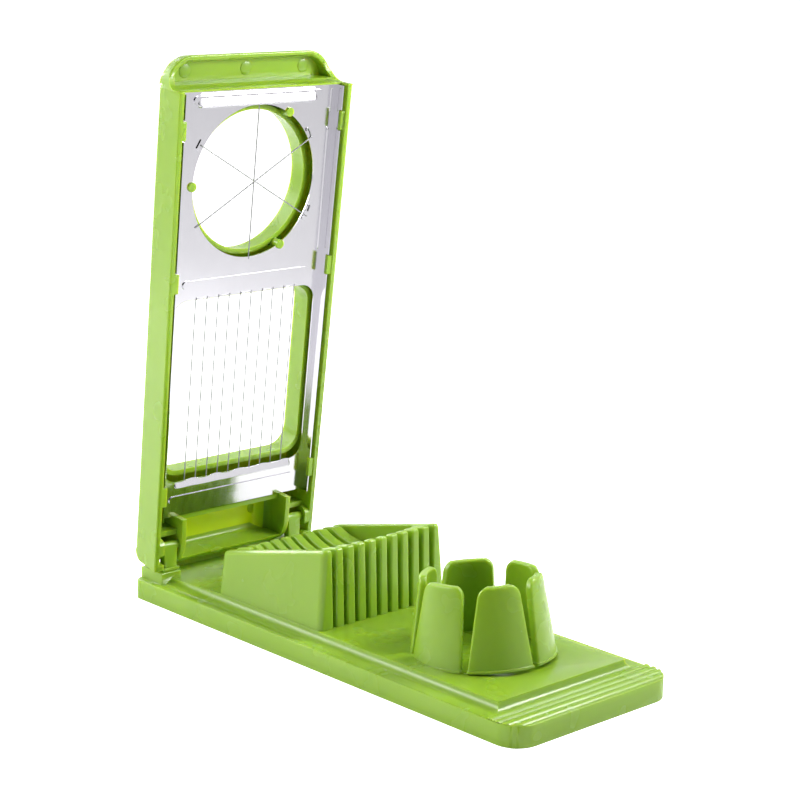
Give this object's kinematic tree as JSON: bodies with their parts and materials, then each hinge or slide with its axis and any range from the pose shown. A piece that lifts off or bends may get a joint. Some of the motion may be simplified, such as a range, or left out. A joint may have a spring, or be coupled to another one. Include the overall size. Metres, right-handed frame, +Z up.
{
  "type": "egg slicer",
  "caption": "Hinged tabletop egg slicer: a wired lid closes over a ribbed cradle for slices and a pronged crown for wedges.",
  "frame": {"origin": "centre of the base's underside, on the surface it stands on", "axes": "+X from the hinge end towards the free end with the thumb ridges, +Y across the base, +Z up"},
  "size_m": [0.2248, 0.0894, 0.2267],
  "materials": {
    "green_plastic": "glossy lime-green moulded plastic",
    "plate_steel": "bright stamped stainless steel sheet",
    "wire_steel": "bright drawn stainless steel wire"
  },
  "bodies": {
    "base": {"base_plate": "green_plastic", "slicing_cradle": "green_plastic", "wedge_crown": "green_plastic", "hinge_post_front": "green_plastic", "hinge_post_back": "green_plastic"},
    "lid": {"lid_frame": "green_plastic", "wire_plate": "plate_steel", "slice_wire_01": "wire_steel", "slice_wire_02": "wire_steel", "slice_wire_03": "wire_steel", "slice_wire_04": "wire_steel", "slice_wire_05": "wire_steel", "slice_wire_06": "wire_steel", "slice_wire_07": "wire_steel", "slice_wire_08": "wire_steel", "slice_wire_09": "wire_steel", "slice_wire_10": "wire_steel", "wedge_wire_1": "wire_steel", "wedge_wire_2": "wire_steel", "wedge_wire_3": "wire_steel"}
  },
  "joints": [
    {"name": "lid_hinge", "type": "hinge", "parent": "base", "child": "lid", "pos_m": [-0.0993, 0, 0.0236], "axis": [0, 1, 0], "range_deg": [-12, 87.4]}
  ]
}
